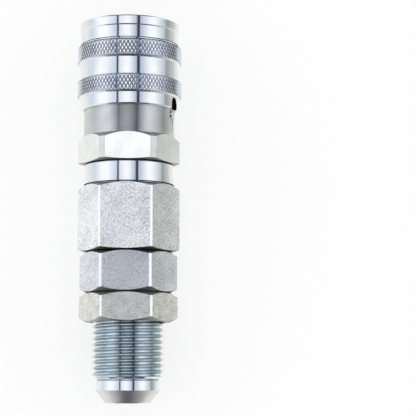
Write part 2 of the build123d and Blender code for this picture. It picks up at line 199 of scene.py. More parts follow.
def add(tree, kind, inputs=(), **settings):
    """Adds a node with its settings, and its inputs as values or as links from other nodes."""
    made = tree.nodes.new(kind)
    for name, value in settings.items():
        setattr(made, name, value)
    for socket, value in dict(inputs).items():
        if isinstance(value, bpy.types.NodeSocket):
            tree.links.new(value, made.inputs[socket])
        else:
            made.inputs[socket].default_value = value
    return made


def steel(name, light, dark, roughness, patch_mm, grain_mm, grain_depth_mm, mark_mm=0.0, mark_depth_mm=0.0,
          grain_contrast=0.0, anisotropic=0.0):
    """Plated or ground steel: faint patches in the plating, a fine grain, and the marks of the lathe.

    The marks run round the coupler on a cylinder, and in rings on a face. A real grain and a lathe's
    real feed are about 0.1 mm, too fine to show here, so they are drawn two to five times as coarse.
    """
    material = bpy.data.materials.new(name)
    material.use_nodes = True
    tree = material.node_tree
    tree.nodes.clear()
    place = add(tree, "ShaderNodeTexCoord").outputs["Object"]
    patches = add(tree, "ShaderNodeTexNoise", {
        "Vector": place, "Scale": 1000 / patch_mm, "Detail": 4.0, "Roughness": 0.6}).outputs["Fac"]
    grain = add(tree, "ShaderNodeTexNoise", {
        "Vector": place, "Scale": 1000 / grain_mm, "Detail": 3.0, "Roughness": 0.7}).outputs["Fac"]
    mixed = add(tree, "ShaderNodeMath", {0: grain, 1: grain_contrast, 2: patches},
                operation="MULTIPLY_ADD").outputs["Value"]
    patch_low, patch_high = 0.32, 0.68
    grain_low, grain_high = 0.4, 0.54
    shade = add(tree, "ShaderNodeMapRange", {
        "Value": mixed, "From Min": patch_low + grain_contrast * grain_low,
        "From Max": patch_high + grain_contrast * grain_high, "To Min": 0.0, "To Max": 1.0}).outputs["Result"]
    tint = add(tree, "ShaderNodeMixRGB", {"Fac": shade, "Color1": linear(dark), "Color2": linear(light)})
    relief = add(tree, "ShaderNodeBump", {
        "Strength": 1.0, "Distance": grain_depth_mm / 1000, "Height": grain})
    if mark_mm:
        centred = add(tree, "ShaderNodeMapping", {"Vector": place, "Location": (0, 0, -axis_height)})
        parts = add(tree, "ShaderNodeSeparateXYZ", {"Vector": centred.outputs["Vector"]})
        across = add(tree, "ShaderNodeCombineXYZ", {"X": parts.outputs["X"], "Z": parts.outputs["Z"]})
        radius = add(tree, "ShaderNodeVectorMath", {0: across.outputs["Vector"]}, operation="LENGTH")
        travel = add(tree, "ShaderNodeMath", {0: parts.outputs["Y"], 1: radius.outputs["Value"]})
        marks = add(tree, "ShaderNodeTexNoise", {
            "W": travel.outputs["Value"], "Scale": 1000 / mark_mm, "Detail": 2.0}, noise_dimensions="1D")
        relief = add(tree, "ShaderNodeBump", {
            "Strength": 1.0, "Distance": mark_depth_mm / 1000, "Height": marks.outputs["Fac"],
            "Normal": relief.outputs["Normal"]})
    surface = add(tree, "ShaderNodeBsdfPrincipled", {
        "Base Color": tint.outputs["Color"], "Metallic": 1.0, "Roughness": roughness,
        "Normal": relief.outputs["Normal"]})
    if anisotropic:
        round_axis = add(tree, "ShaderNodeTangent", direction_type="RADIAL", axis="Y")
        surface.inputs["Anisotropic"].default_value = anisotropic
        surface.inputs["Anisotropic Rotation"].default_value = 0.25
        tree.links.new(round_axis.outputs["Tangent"], surface.inputs["Tangent"])
    add(tree, "ShaderNodeOutputMaterial", {"Surface": surface.outputs["BSDF"]})
    return material


# Fine-turned zinc plate mirrors the tent sharply, and the tool's rings draw each reflection out a little.
bright_zinc = steel("fine-turned bright zinc plate", "#F0F2F5", "#E2E6EB", 0.08, 5.0, 0.4, 0.0006,
                    0.2, 0.0008)
# Drawn flats: the bar's sandy grain breaks the reflection up into pale and grey grains.
stud_flats = steel("drawn zinc-plated flats of the stud", "#F0F3F8", "#B0B5BF", 0.36, 6.0, 0.42, 0.02,
                   grain_contrast=2.6, anisotropic=0.8)
# Rolled thread: pressed smooth between dies, so its roots shine, with the bluish cast of clear zinc.
rolled_zinc = steel("rolled bluish zinc-plated thread", "#DCE8EE", "#BFD0DC", 0.09, 3.0, 0.3, 0.001)
# Sealing cone: satin, so it shades softly from pale sides to a dark middle.
satin_cone = steel("satin sealing cone", "#E6E6E7", "#D8D8DA", 0.36, 4.0, 0.25, 0.002, 0.3, 0.001)
# Flanks of the thread: painted shade makes them darker than the roots, and they are a little duller.
shaded_flank = steel("thread flanks in painted shade", "#B6C3CB", "#9CA9B2", 0.2, 2.0, 0.3, 0.002)
# Crests of the thread: worn by handling to a thin, warm grey line.
worn_crest = steel("worn crests of the thread", "#E4E0D8", "#CCC8C0", 0.25, 2.0, 0.3, 0.002)
# Chamfers: thin, dull plating that hardly mirrors, so each hexagon's end reads as a grey rim.
dull_zinc = steel("dull zinc in the chamfers", "#A9ADA4", "#8C918C", 0.4, 2.0, 0.3, 0.004)
# Painted shade: a dark colour at the foot of a step, in grooves and slots, and on faces hidden under other
# parts, where shadow falls.
painted_shade = steel("dark recess under a step", "#3A3D42", "#24272B", 0.5, 1.0, 0.2, 0.004)
stud_finishes = [bright_zinc, stud_flats, rolled_zinc, dull_zinc, painted_shade, satin_cone, shaded_flank,
                 worn_crest]

nose_radius = 0.00995
nose_length = 0.0070148
flare_radius = 0.007
flare_edge = 0.00015
flare_length = 0.0039148
undercut_length = 0.0005
undercut_depth = 0.0004
thread_radius = 0.0111125
thread_pitch = 0.0254 / 14
thread_depth = 0.001
thread_chamfer = 0.0007
stud_shoulder = nose_length + 0.027
stud_hex_end = stud_shoulder + 0.0125
neck_radius = thread_radius - 0.0015
neck_length = 0.0026
stud_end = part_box("bulkhead_stud")[1].y - flared_tip
stud_bore = 0.00615

thread_start = nose_length + undercut_length
crest_half = thread_pitch / 16
root_round = (thread_pitch / 2 - crest_half) / tan(radians(30)) - thread_depth
root_arc = [(-thread_pitch / 2 + root_round * sin(radians(angle)),
             thread_radius - thread_depth + root_round * (1 - cos(radians(angle))))
            for angle in range(0, 61, 12)]
flank = root_arc + [(-crest_half, thread_radius)]
one_turn = flank + [(-across, radius) for across, radius in reversed(flank)]
steps_in_turn = 96
spare_turns = 3
turns = round((stud_shoulder - nose_length) / thread_pitch) + spare_turns
thread_shape = bmesh.new()
line = [thread_shape.verts.new((radius, flared_tip + nose_length - 1.5 * thread_pitch + across, 0))
        for across, radius in one_turn]
edges = [thread_shape.edges.new(pair) for pair in zip(line, line[1:])]
bmesh.ops.spin(thread_shape, geom=line + edges, cent=(0, 0, 0), axis=(0, 1, 0),
               dvec=(0, thread_pitch / steps_in_turn, 0), angle=2 * pi * turns, steps=steps_in_turn * turns)
bmesh.ops.remove_doubles(thread_shape, verts=thread_shape.verts, dist=2 * weld)
for station, facing in ((thread_start, -1), (stud_shoulder + overshoot, 1)):
    bmesh.ops.bisect_plane(thread_shape, geom=thread_shape.verts[:] + thread_shape.edges[:]
                           + thread_shape.faces[:], dist=speck, plane_co=(0, flared_tip + station, 0),
                           plane_no=(0, facing, 0), clear_outer=True)
open_edges = [edge for edge in thread_shape.edges if edge.is_boundary]
bmesh.ops.holes_fill(thread_shape, edges=open_edges, sides=0)
bmesh.ops.recalc_face_normals(thread_shape, faces=thread_shape.faces)
crest_margin = 0.0001
steep = 0.8
# Painted shade: the faces steep to the axis, the flanks, take the darker flank colour.
for face in thread_shape.faces:
    middle = face.calc_center_median()
    if abs(face.normal.y) > steep:
        finish = shaded_flank
    elif Vector((middle.x, middle.z)).length > thread_radius - crest_margin:
        finish = worn_crest
    else:
        finish = rolled_zinc
    face.material_index = stud_finishes.index(finish)
thread = placed("thread", thread_shape, stud_finishes)
thread_lead = 0.0003
thread_limits = turned("thread_limits", [
    (thread_start - thread_lead, 0), (thread_start - thread_lead, thread_radius - thread_depth - thread_lead),
    (thread_start + overshoot, thread_radius), (thread_start + overshoot, thread_radius + overshoot),
    (stud_shoulder + 2 * overshoot, thread_radius + overshoot), (stud_shoulder + 2 * overshoot, 0),
], stud_finishes)
combined(thread, thread_limits, "INTERSECT")

stud = turned("stud", [
    (0, 0), (0, flare_radius - flare_edge), (flare_edge, flare_radius), (flare_length, nose_radius),
    (nose_length - small_edge, nose_radius), (nose_length, nose_radius - small_edge),
    (nose_length, nose_radius - undercut_depth), (thread_start, nose_radius - undercut_depth),
    (stud_hex_end, nose_radius - undercut_depth), (stud_hex_end, neck_radius),
    (stud_hex_end + neck_length, neck_radius),
    (stud_hex_end + neck_length, thread_radius), (stud_end - thread_chamfer, thread_radius),
    (stud_end, thread_radius - thread_chamfer), (stud_end, 0),
], stud_finishes)
paint_margin = 0.00001
painted(stud, small_edge, flare_length - small_edge, stud_finishes.index(satin_cone))
# Painted shade: the undercut beside the thread takes the darker flank colour.
painted(stud, nose_length - paint_margin, thread_start, stud_finishes.index(shaded_flank))
# Painted shade: the neck in the joint behind the stud's hexagon is coloured dark.
painted(stud, stud_hex_end, stud_hex_end + neck_length, stud_finishes.index(painted_shade))
stud_hex_width = 0.027
stud_hex_corner = 0.01525
stud_hex_rise = 0.0012
stud_hex_turn = radians(-1.4)
stud_hex = hexagon("stud_hex", stud_hex_width, stud_hex_corner, stud_shoulder, stud_hex_end, stud_hex_rise,
                   stud_hex_rise, stud_hex_turn, stud_finishes, chamfers=stud_finishes.index(dull_zinc),
                   edges=stud_finishes.index(stud_flats), edge_width=0.0004)
combined(stud, thread, "UNION")
combined(stud, stud_hex, "UNION")
bore_chamfer = 0.0004
bore = turned("bore", [
    (-overshoot, 0), (-overshoot, stud_bore + bore_chamfer + overshoot), (bore_chamfer, stud_bore),
    (stud_end + overshoot, stud_bore), (stud_end + overshoot, 0)], stud_finishes)
combined(stud, bore, "DIFFERENCE")
finished(stud, "body", ["bulkhead_stud"], rolled=stud_finishes.index(rolled_zinc))


# Locknut: a zinc-plated hexagon nut that clamps the panel against the stud's hexagon. It is the most
# handled piece, with a slightly warm tone; its fine scratches are not drawn.

# Nut's flats: the same drawn grain, dulled and warmed by much handling.
nut_flats = steel("scratched zinc-plated nut", "#F4F4F1", "#B2B2AF", 0.36, 2.5, 0.42, 0.02,
                  grain_contrast=2.6, anisotropic=0.8)
nut_finishes = [bright_zinc, nut_flats, dull_zinc, painted_shade]
nut_start, nut_end = (corner.y - flared_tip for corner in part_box("locknut"))
thread_clearance = 0.00003
nut_bore = thread_radius + thread_clearance
nut_width = 0.027
nut_hex_corner = 0.01535
nut_hex_rise = 0.00125
nut_turn = 0.0
locknut = hexagon("locknut_piece", nut_width, nut_hex_corner, nut_start, nut_end, nut_hex_rise,
                  nut_hex_rise, nut_turn, nut_finishes, chamfers=nut_finishes.index(dull_zinc),
                  edges=nut_finishes.index(nut_flats), edge_width=0.0004)
nut_bore_chamfer = 0.0007
nut_mouth = nut_bore + nut_bore_chamfer + overshoot
nut_hole = turned("nut_hole", [
    (nut_start - overshoot, 0), (nut_start - overshoot, nut_mouth), (nut_start + nut_bore_chamfer, nut_bore),
    (nut_end - nut_bore_chamfer, nut_bore), (nut_end + overshoot, nut_mouth), (nut_end + overshoot, 0),
], nut_finishes)
# Painted shade: the nut's bore and its chamfers are coloured dark, drawing the dark line at the thread.
painted(nut_hole, 0, nut_end + overshoot, nut_finishes.index(painted_shade))
combined(locknut, nut_hole, "DIFFERENCE")
finished(locknut, "nut", ["locknut"])


# Rear body: turned from hexagon bar, with the long hexagon for the wrench, the bright turned collar and
# the spigot that screws into the socket body. The flats keep the bar's fine speckle under the zinc.

# Long hexagon's flats: near white, with the bar's specks drawn 0.5 mm wide so that they show.
body_flats = steel("drawn zinc-plated flats of the body", "#FFFFFF", "#B8C0CA", 0.3, 7.0, 0.55, 0.02,
                   grain_contrast=3.0, anisotropic=0.6)
rear_start, rear_end = (corner.y - flared_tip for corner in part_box("rear_body"))
rear_hex_end = rear_start + 0.0206
collar_end = rear_hex_end + 0.0065
collar_radius = 0.0141
spigot_radius = 0.01197
passage = 0.008
seal_pocket = 0.01185
seat_gap = 0.00002
spigot_seal_low, spigot_seal_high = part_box("spigot_seal")
spigot_groove_start = spigot_seal_low.y - flared_tip - seat_gap
spigot_groove_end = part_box("spigot_backup_ring")[1].y - flared_tip + seat_gap
spigot_groove = spigot_seal_high.x - (spigot_seal_high.y - spigot_seal_low.y) - seat_gap
collar_groove = 0.0003
collar_edge = 0.00035
rear_root = rear_hex_end - 0.004
rear_finishes = [bright_zinc, body_flats, dull_zinc, painted_shade]
rear_body = turned("rear_body_piece", [
    (rear_root, 0), (rear_root, collar_radius - collar_groove),
    (rear_hex_end, collar_radius - collar_groove),
    (rear_hex_end + collar_groove, collar_radius - collar_groove),
    (rear_hex_end + collar_groove, collar_radius), (collar_end - collar_edge, collar_radius),
    (collar_end, collar_radius - collar_edge), (collar_end, spigot_radius),
    (spigot_groove_start, spigot_radius), (spigot_groove_start, spigot_groove),
    (spigot_groove_end, spigot_groove), (spigot_groove_end, spigot_radius),
    (rear_end, spigot_radius), (rear_end, 0),
], rear_finishes)
# Painted shade: the groove under the long hexagon and the spigot hidden in the socket body are coloured dark.
painted(rear_body, rear_hex_end, rear_hex_end + collar_groove, rear_finishes.index(painted_shade))
painted(rear_body, collar_end, rear_end, rear_finishes.index(painted_shade))
rear_hex_width = 0.028
rear_hex_corner = 0.01592
rear_hex_start_rise, rear_hex_end_rise = 0.00058, 0.00133
rear_hex_turn = radians(-1.6)
rear_hex = hexagon("rear_hex", rear_hex_width, rear_hex_corner, rear_start, rear_hex_end,
                   rear_hex_start_rise, rear_hex_end_rise, rear_hex_turn, rear_finishes,
                   chamfers=rear_finishes.index(dull_zinc), edge_width=0.0001)
combined(rear_body, rear_hex, "UNION")
port_cone_start, port_cone_end = stud_end + 0.001, stud_end + 0.00414
port = turned("port", [
    (rear_start - overshoot, 0), (rear_start - overshoot, seal_pocket),
    (stud_hex_end + neck_length, seal_pocket), (stud_hex_end + neck_length, nut_bore),
    (port_cone_start, nut_bore), (port_cone_end, passage),
    (rear_end + overshoot, passage), (rear_end + overshoot, 0),
], rear_finishes)
# Painted shade: the port inside the rear body is coloured dark.
painted(port, 0, rear_end, rear_finishes.index(painted_shade))
combined(rear_body, port, "DIFFERENCE")
finished(rear_body, "body", ["rear_body"])


# Socket body: the hexagon with widely turned corners, the satin grey barrel that the sleeve runs on, and
# the front tube that holds the ring of balls. The hexagon and barrel are one piece under one plating.

# Milled flats: cut smooth, so they mirror the tent evenly, and the top one looks plain white.
socket_flats = steel("milled zinc-plated flats", "#F6F7F7", "#E6E8E8", 0.12, 6.0, 0.5, 0.001)
# Turned corners: satin, so they show as soft grey bands between the flats.
satin_corners = steel("satin turned corners", "#DEDDDB", "#CFCECC", 0.3, 5.0, 0.3, 0.002)
# Barrel: its fine marks run round it and smear the reflections across into soft grey stripes.
satin_barrel = steel("satin barrel", "#DCDDDE", "#CCCDCF", 0.36, 6.0, 0.25, 0.001, 0.3, 0.001,
                     anisotropic=1.0)
socket_start, socket_end = (corner.y - flared_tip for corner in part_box("socket_body"))
socket_hex_end = socket_start + 0.0088
spring_shoulder = socket_hex_end + 0.0135
barrel_radius = 0.01425
tube_radius = 0.0125
socket_bore = 0.0099
guide_radius = 0.01
carrier_pocket = 0.01102
valve_chamber = 0.01045
ring_groove_start, ring_groove_end = socket_end - 0.0029, socket_end - 0.0017
ring_groove_depth = 0.0006
dirt_groove_start, guide_start = socket_end - 0.0046, socket_end - 0.0038
dirt_groove_depth = 0.0005
mouth_chamfer = 0.0008
spigot_bore = spigot_radius + thread_clearance
carrier_start, carrier_end = (corner.y - flared_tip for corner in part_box("stem_carrier"))
socket_seal_low, socket_seal_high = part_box("socket_seal")
seal_groove_start = socket_seal_low.y - flared_tip - seat_gap
seal_groove_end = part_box("socket_backup_ring")[1].y - flared_tip + seat_gap
seal_groove = socket_seal_high.x + seat_gap
valve_stop = socket_start + 0.02882
socket_finishes = [bright_zinc, socket_flats, satin_barrel, satin_corners, dull_zinc, painted_shade]
socket_root = socket_hex_end - 0.002
covered_start = sleeve_low.y - flared_tip + small_edge
socket_body = turned("socket_body_piece", [
    (socket_root, 0), (socket_root, barrel_radius),
    (covered_start, barrel_radius), (spring_shoulder, barrel_radius),
    (spring_shoulder, tube_radius), (ring_groove_start, tube_radius),
    (ring_groove_start, tube_radius - ring_groove_depth), (ring_groove_end, tube_radius - ring_groove_depth),
    (ring_groove_end, tube_radius), (socket_end - small_edge, tube_radius),
    (socket_end, tube_radius - small_edge), (socket_end, 0),
], socket_finishes)
painted(socket_body, 0, socket_end + overshoot, socket_finishes.index(satin_barrel))
# Painted shade: the barrel under the sleeve is coloured dark, and shows so through the slot.
painted(socket_body, covered_start, spring_shoulder, socket_finishes.index(painted_shade))
socket_hex_width = 0.0285
socket_hex_corner = 0.015875
socket_hex_start_rise, socket_hex_end_rise = 0.00048, 0.0017
socket_hex_turn = radians(1.2)
socket_hex = hexagon("socket_hex", socket_hex_width, socket_hex_corner, socket_start, socket_hex_end,
                     socket_hex_start_rise, socket_hex_end_rise, socket_hex_turn, socket_finishes,
                     corners=socket_finishes.index(satin_corners), chamfers=socket_finishes.index(dull_zinc))
combined(socket_body, socket_hex, "UNION")
socket_hole = turned("socket_hole", [
    (socket_start - overshoot, 0), (socket_start - overshoot, spigot_bore),
    (carrier_start, spigot_bore), (carrier_start, carrier_pocket),
    (carrier_end, carrier_pocket), (carrier_end, valve_chamber), (valve_stop, valve_chamber),
    (valve_stop, socket_bore), (seal_groove_start, socket_bore), (seal_groove_start, seal_groove),
    (seal_groove_end, seal_groove), (seal_groove_end, socket_bore), (dirt_groove_start, socket_bore),
    (dirt_groove_start, guide_radius + dirt_groove_depth), (guide_start, guide_radius + dirt_groove_depth),
    (guide_start, guide_radius), (socket_end - mouth_chamfer, guide_radius),
    (socket_end + overshoot, guide_radius + mouth_chamfer + overshoot), (socket_end + overshoot, 0),
], socket_finishes)
combined(socket_body, socket_hole, "DIFFERENCE")
ball_low, ball_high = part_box("locking_balls")
ball_station = (ball_low.y + ball_high.y) / 2
ball_radius = (ball_high.y - ball_low.y) / 2
ball_circle = ball_high.x - ball_radius
ball_count = 8
ball_clearance = 0.00005
ball_hole_radius = ball_radius + ball_clearance
drill_length = 0.008
ball_holes = bmesh.new()
drilled = bmesh.ops.create_cone(ball_holes, cap_ends=True, segments=48, radius1=ball_hole_radius,
                                radius2=ball_hole_radius, depth=drill_length)
bmesh.ops.translate(ball_holes, verts=drilled["verts"], vec=(0, ball_station, tube_radius))
bmesh.ops.spin(ball_holes, geom=ball_holes.verts[:] + ball_holes.edges[:] + ball_holes.faces[:],
               cent=(0, 0, 0), axis=(0, 1, 0), dvec=(0, 0, 0), angle=2 * pi * (ball_count - 1) / ball_count,
               steps=ball_count - 1, use_duplicate=True)
combined(socket_body, placed("ball_holes", ball_holes, socket_finishes), "DIFFERENCE")
lock_low, lock_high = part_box("lock_ball")
lock_centre = (lock_low + lock_high) / 2 - Vector((0, 0, axis_height))
lock_radius = (lock_high.y - lock_low.y) / 2
lock_pocket = bmesh.new()
bmesh.ops.create_uvsphere(lock_pocket, u_segments=48, v_segments=24, radius=lock_radius + seat_gap)
bmesh.ops.translate(lock_pocket, verts=lock_pocket.verts, vec=lock_centre)
combined(socket_body, placed("lock_pocket", lock_pocket, socket_finishes), "DIFFERENCE")
finished(socket_body, "body", ["socket_body"])


# Release sleeve: turned steel with two diamond-knurled bands for the grip, bright bands between them, and
# a round-ended slot in the skirt that passes the lock ball. It is plated bright, with a bluish cast.

# Tops of the diamonds: bright, so each takes its own small glint.
knurl_zinc = steel("bright plated knurl", "#F2F4F7", "#E2E6EB", 0.1, 4.0, 0.3, 0.0006)
# Sides of the diamonds: painted shade, a darker copy of the tops' plate, so that the crossed grooves read.
knurl_flank_shade = steel("sides of the knurl's diamonds", "#D4D9E0", "#BAC1CA", 0.12, 2.0, 0.3, 0.001)
sleeve_start, sleeve_end = sleeve_low.y - flared_tip, sleeve_high.y - flared_tip
facet_margin = 0.000005
knurl_radius = (sleeve_high.x - sleeve_low.x) / 2 - facet_margin
knurl_depth = 0.0003
knurl_root = knurl_radius - knurl_depth
knurl_count = 87
knurl_rows = 5
skirt_end = sleeve_start + 0.0041
rear_knurl_end = skirt_end + 0.0051
mid_band_end = rear_knurl_end + 0.00585
front_knurl_end = mid_band_end + 0.00505
front_band_start = front_knurl_end + 0.0007
front_ring_start = front_band_start + 0.0038
skirt_radius = knurl_radius - 0.00092
mid_radius = knurl_radius - 0.00065
front_band_radius = knurl_radius - 0.00085
front_ring_radius = knurl_radius - 0.00055
sleeve_bore = 0.0143
land_radius = 0.01255
counterbore = 0.0135
counterbore_start, land_end = sleeve_end - 0.00709, sleeve_end - 0.00839
easing = 0.00035
groove_width = 0.0002
groove_depth = 0.0002
foot_chamfer = 0.00035
front_step = 0.0001
front_lip = 0.00002
sleeve_shape = bmesh.new()
middle_outline = [
    (rear_knurl_end, knurl_root), (rear_knurl_end, mid_radius - groove_depth),
    (rear_knurl_end + groove_width, mid_radius - groove_depth),
    (rear_knurl_end + groove_width, mid_radius), (mid_band_end - (knurl_root - mid_radius), mid_radius),
    (mid_band_end, knurl_root)]
outer_outline = [
    (front_knurl_end, knurl_root), (front_knurl_end, knurl_root - groove_depth),
    (front_knurl_end + groove_width, knurl_root - groove_depth),
    (front_knurl_end + groove_width, knurl_root - front_step),
    (front_band_start, front_band_radius + front_lip),
    (front_band_start, front_band_radius - groove_depth),
    (front_band_start + groove_width, front_band_radius - groove_depth),
    (front_band_start + groove_width, front_band_radius), (front_ring_start, front_band_radius),
    (front_ring_start + front_ring_radius - front_band_radius, front_ring_radius),
    (sleeve_end - easing, front_ring_radius), (sleeve_end, front_ring_radius - easing),
    (sleeve_end, counterbore + small_edge), (sleeve_end - small_edge, counterbore),
    (counterbore_start, counterbore), (land_end, land_radius),
    (mid_band_end, land_radius), (mid_band_end, sleeve_bore), (sleeve_start + small_edge, sleeve_bore),
    (sleeve_start, sleeve_bore + small_edge), (sleeve_start, skirt_radius - easing),
    (sleeve_start + easing, skirt_radius), (skirt_end - foot_chamfer, skirt_radius),
    (skirt_end - foot_chamfer, knurl_root - foot_chamfer), (skirt_end, knurl_root)]
for outline in (middle_outline, outer_outline):
    line = [sleeve_shape.verts.new((radius, flared_tip + station, 0)) for station, radius in outline]
    edges = [sleeve_shape.edges.new(pair) for pair in zip(line, line[1:])]
    bmesh.ops.spin(sleeve_shape, geom=line + edges, cent=(0, 0, 0), axis=(0, 1, 0), dvec=(0, 0, 0),
                   angle=2 * pi, steps=2 * knurl_count, use_merge=True)
half_diamond = pi / knurl_count
for band_start, band_end in ((skirt_end, rear_knurl_end), (mid_band_end, front_knurl_end)):
    row_length = (band_end - band_start) / knurl_rows
    for row in range(knurl_rows + 1):
        station = flared_tip + band_start + row * row_length
        low = station - row_length if row else station
        high = station + row_length if row < knurl_rows else station
        turn = row % 2 * half_diamond
        corners = [(turn - half_diamond, station), (turn, low), (turn + half_diamond, station), (turn, high)]
        diamond = sleeve_shape.faces.new([
            sleeve_shape.verts.new((knurl_root * cos(angle), along, -knurl_root * sin(angle)))
            for angle, along in corners])
        bmesh.ops.spin(sleeve_shape, geom=[diamond], cent=(0, 0, 0), axis=(0, 1, 0), dvec=(0, 0, 0),
                       angle=2 * pi, steps=knurl_count, use_duplicate=True, use_merge=True)
bmesh.ops.remove_doubles(sleeve_shape, verts=sleeve_shape.verts, dist=weld)
bmesh.ops.recalc_face_normals(sleeve_shape, faces=sleeve_shape.faces)
sleeve_finishes = [bright_zinc, knurl_zinc, painted_shade, knurl_flank_shade]
largest_diamond = 1.3e-6
root_margin = 0.000005
diamonds = [
    face for face in sleeve_shape.faces
    if len(face.verts) == 4 and face.calc_area() < largest_diamond and all(
        abs(Vector((corner.co.x, corner.co.z)).length - knurl_root) < root_margin for corner in face.verts)]
for face in diamonds:
    face.material_index = sleeve_finishes.index(knurl_zinc)
diamond_slope = 0.00032
rims = bmesh.ops.inset_individual(sleeve_shape, faces=diamonds, thickness=diamond_slope, depth=knurl_depth)
# Painted shade: the sloping sides of each diamond take the darker colour.
for face in rims["faces"]:
    face.material_index = sleeve_finishes.index(knurl_flank_shade)
sleeve = placed("sleeve", sleeve_shape, sleeve_finishes)
groove_margin = 0.000003
bore_margin = 0.0005
# Painted shade: the narrow grooves beside the knurls and the front band are coloured dark.
for face in sleeve.data.polygons:
    station = face.center.y - flared_tip
    outside = Vector((face.center.x, face.center.z - axis_height)).length > sleeve_bore + bore_margin
    plain = face.material_index == sleeve_finishes.index(bright_zinc)
    in_groove = any(
        start - groove_margin < station < start + groove_width + groove_margin
        for start in (rear_knurl_end, front_knurl_end, front_band_start))
    if outside and plain and in_groove:
        face.material_index = sleeve_finishes.index(painted_shade)

slot_half_width = 0.00215
slot_depth = 0.0037
slot_bevel = 0.00045
slot_floor = sleeve_bore - 0.0011
slot_overshoot = 0.0002
slot_azimuth = radians(70)
slot = bmesh.new()
first = slot.verts.new((slot_half_width, 0, slot_floor))
arc = bmesh.ops.spin(slot, geom=[first], cent=(0, 0, 0), axis=(0, 0, 1), dvec=(0, 0, 0), angle=pi, steps=40)
last = [part for part in arc["geom_last"] if isinstance(part, bmesh.types.BMVert)][0]
corners = [slot.verts.new((side * slot_half_width, -slot_depth, slot_floor)) for side in (1, -1)]
for pair in ((first, corners[0]), corners, (corners[1], last)):
    slot.edges.new(pair)
mouth = bmesh.ops.contextual_create(slot, geom=slot.edges[:])["faces"]
straight = skirt_radius + slot_overshoot - slot_bevel - slot_floor
for rise, spread in ((straight, 0.0), (slot_bevel, slot_bevel)):
    raised = bmesh.ops.extrude_face_region(slot, geom=mouth)["geom"]
    mouth = [part for part in raised if isinstance(part, bmesh.types.BMFace)]
    corners = [part for part in raised if isinstance(part, bmesh.types.BMVert)]
    wider = 1 + spread / slot_half_width
    bmesh.ops.scale(slot, verts=corners, vec=(wider, wider, 1))
    bmesh.ops.translate(slot, verts=corners, vec=(0, 0, rise))
between = [face for face in slot.faces if all(len(edge.link_faces) > 2 for edge in face.edges)]
bmesh.ops.delete(slot, geom=between, context="FACES_ONLY")
bmesh.ops.recalc_face_normals(slot, faces=slot.faces)
# Painted shade: the slot's walls are coloured dark, and its bevels keep the bright plate.
for face in slot.faces:
    wall = abs(face.normal.z) < 0.1
    face.material_index = sleeve_finishes.index(painted_shade if wall else bright_zinc)
slot_centre = flared_tip + sleeve_start + slot_depth - slot_half_width
bmesh.ops.translate(slot, verts=slot.verts, vec=(0, slot_centre, 0))
bmesh.ops.rotate(slot, verts=slot.verts, cent=(0, 0, 0), matrix=Matrix.Rotation(slot_azimuth, 3, "Y"))
combined(sleeve, placed("slot_cut", slot, sleeve_finishes), "DIFFERENCE")
finished(sleeve, "sleeve", ["release_sleeve"])


# Balls: eight hardened balls in the front tube's holes hold the plug, and a smaller one is staked in the
# barrel behind the skirt. All are ground and polished like those of a bearing.

# Polished steel: all but a mirror, so each ball holds a small picture of the tent.
ball_steel = steel("polished ball steel", "#E4E6EA", "#D6D9DE", 0.05, 3.0, 0.3, 0.0002)
balls = bmesh.new()
first_ball = bmesh.ops.create_icosphere(balls, subdivisions=4, radius=ball_radius)
bmesh.ops.translate(balls, verts=first_ball["verts"], vec=(0, ball_station, ball_circle))
bmesh.ops.spin(balls, geom=balls.verts[:] + balls.edges[:] + balls.faces[:],
               cent=(0, 0, 0), axis=(0, 1, 0), dvec=(0, 0, 0), angle=2 * pi * (ball_count - 1) / ball_count,
               steps=ball_count - 1, use_duplicate=True)
finished(placed("ball_ring", balls, [ball_steel]), "body", ["locking_balls"],
         rolled=0, rolled_angle=40)
single = bmesh.new()
bmesh.ops.create_icosphere(single, subdivisions=4, radius=lock_radius)
bmesh.ops.translate(single, verts=single.verts, vec=lock_centre)
finished(placed("staked_ball", single, [ball_steel]), "body", ["lock_ball"],
         rolled=0, rolled_angle=40)


# Springs and wire ring: drawn spring wire. The large spring pushes the sleeve forward, the small one shuts
# the valve, and the open ring in the front tube's groove keeps the sleeve on.
def coil(name, mean_radius, wire_radius, start, end, turns, materials, steps_in_turn=64, sides=16):
    """Wire wound about the coupler's axis between two seats."""
    shape = bmesh.new()
    section = bmesh.ops.create_circle(shape, cap_ends=True, segments=sides, radius=wire_radius)
    bmesh.ops.translate(shape, verts=section["verts"], vec=(mean_radius, start + wire_radius, 0))
    steps = round(turns * steps_in_turn)
    climb = (end - start - 2 * wire_radius) / steps
    bmesh.ops.spin(shape, geom=shape.faces[:], cent=(0, 0, 0), axis=(0, 1, 0), dvec=(0, climb, 0),
                   angle=2 * pi * turns, steps=steps)
    return placed(name, shape, materials)


# Drawn wire: bare and unplated, so it is greyer than the rest, with one soft highlight along it.
spring_wire = steel("drawn spring wire", "#A2A4A8", "#85888D", 0.3, 2.0, 0.2, 0.004)
spring_wire_radius = 0.0006
for name, node, slide, stroke, turn_count in (
        ("sleeve_coil", "sleeve_spring", "sleeve_slide", 0.0036, 3.5),
        ("valve_coil", "valve_spring", "valve_slide", 0.01, 6.5)):
    low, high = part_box(node)
    spring = coil(name, high.x - spring_wire_radius, spring_wire_radius, low.y, high.y, turn_count,
                  [spring_wire])
    finished(spring, "body", [node], rolled=0, rolled_angle=40)
    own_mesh(spring)
ring_low, ring_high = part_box("sleeve_retaining_ring")
ring_wire = (ring_high.y - ring_low.y) / 2
ring_share = 0.95
open_ring = coil("open_ring", ring_high.x - ring_wire, ring_wire, ring_low.y, ring_high.y, ring_share,
                 [spring_wire])
finished(open_ring, "body", ["sleeve_retaining_ring"], rolled=0, rolled_angle=40)


# Valve sleeve: ground steel, pushed shut by its spring. Its front face lies flush with the stem's, and
# both are wiped clean before the plug goes in, so they are the smoothest faces of the coupler.

